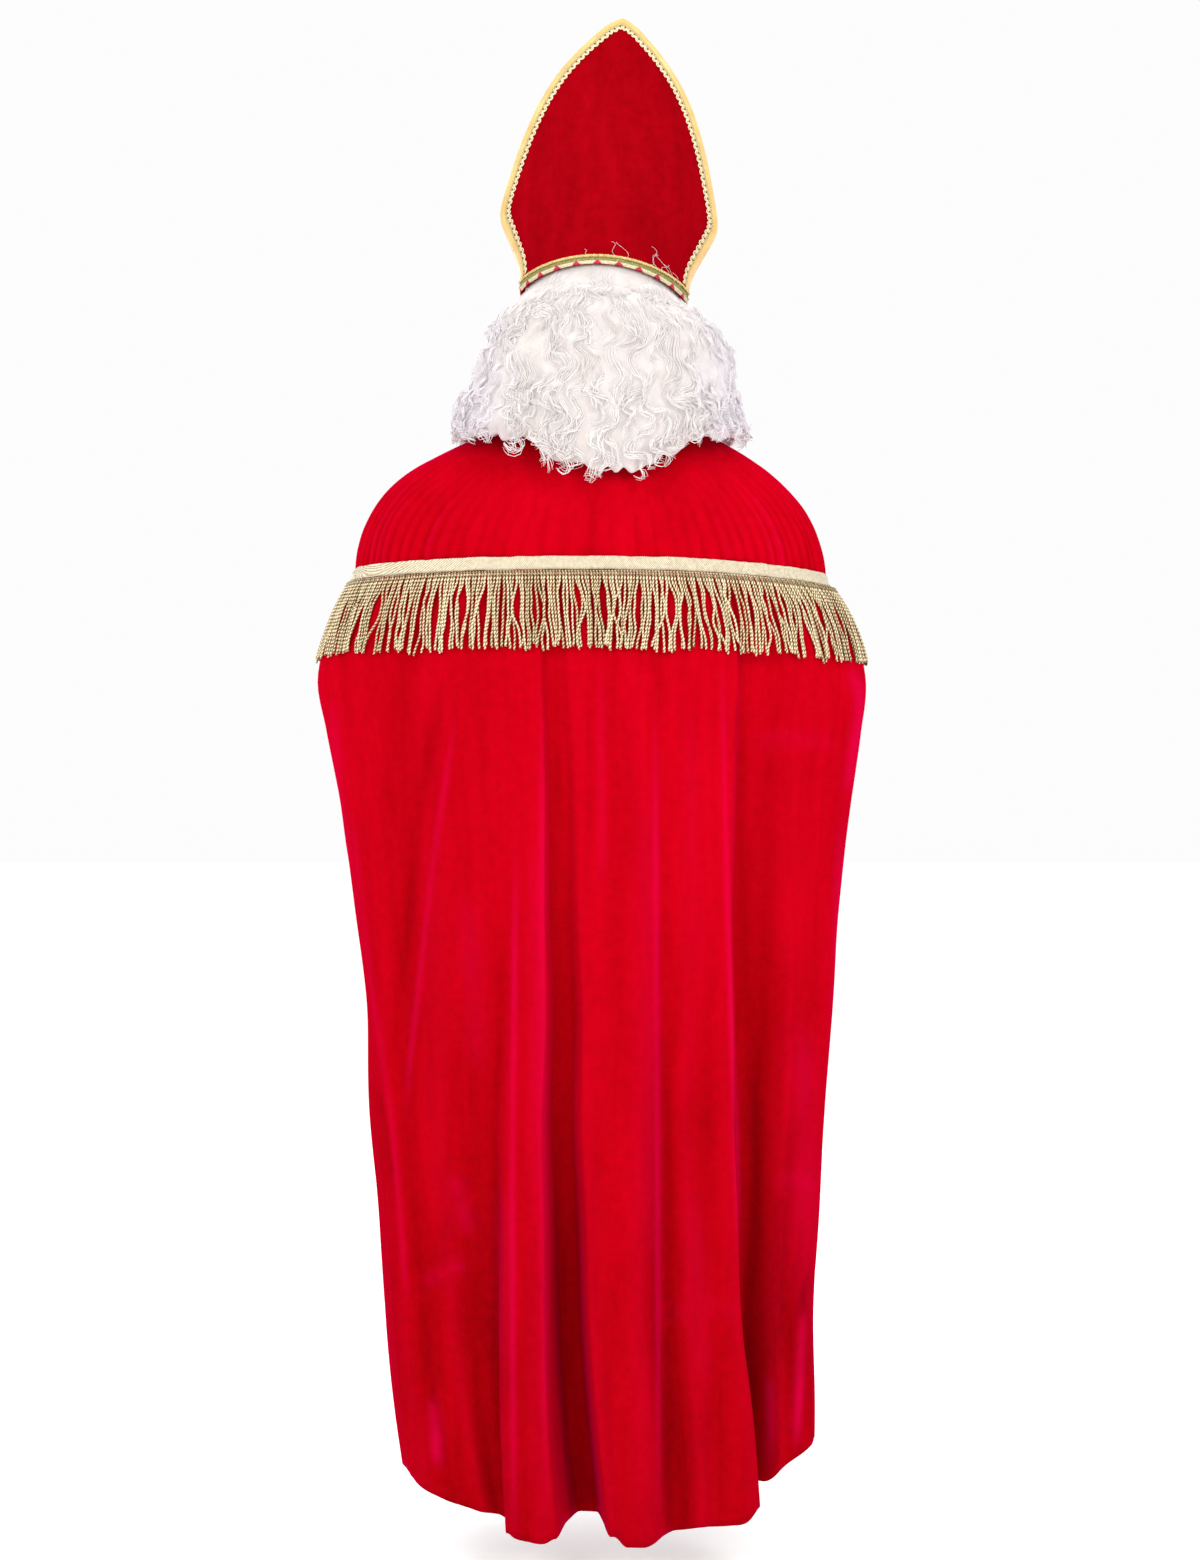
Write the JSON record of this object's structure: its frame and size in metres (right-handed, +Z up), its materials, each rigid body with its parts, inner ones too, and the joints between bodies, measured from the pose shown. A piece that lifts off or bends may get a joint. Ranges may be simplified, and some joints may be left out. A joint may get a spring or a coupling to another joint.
{
  "type": "saint nicholas costume, worn form: velvet cape, mitre and wig",
  "caption": "Long red velvet cape with gathered yoke and gold fringe, pointed mitre with gold trim, and curly white wig, hollow and in the form in which they are worn.",
  "frame": {"origin": "middle of the cape's neck opening at the base of the neck, where the costume is held up", "axes": "+Z up; the costume faces -Y, so the back of the cape is towards +Y; +X is the costume's own left side"},
  "size_m": [0.7375, 0.3698, 1.9912],
  "materials": {
    "velvet": "red panne velvet with a pile that shines along the folds",
    "fringe_gold": "twisted gold rayon bullion fringe",
    "gold_braid": "pale gold scalloped braid",
    "rim_braid": "gold cord over grey-green and red sawtooth braid",
    "gold_binding": "smooth yellow gold satin binding",
    "hair": "white synthetic curls",
    "wig_net": "pale elastic net cap",
    "brass": "polished"
  },
  "bodies": {
    "root": {"cape_back": "velvet", "cape_front_left": "velvet", "cape_front_right": "velvet", "yoke_back": "velvet", "yoke_front_left": "velvet", "yoke_front_right": "velvet", "mitre_back": "velvet", "mitre_front": "velvet", "mitre_crown": "velvet", "fringe": "fringe_gold", "fringe_heading": "gold_braid", "mitre_braid_back": "gold_braid", "mitre_braid_front": "gold_braid", "mitre_rim_back": "rim_braid", "mitre_rim_front": "rim_braid", "mitre_binding_back": "gold_binding", "mitre_binding_front": "gold_binding", "wig_hair": "hair", "wig_cap": "wig_net", "throat_hook": "brass", "throat_bar": "brass"}
  },
  "joints": []
}
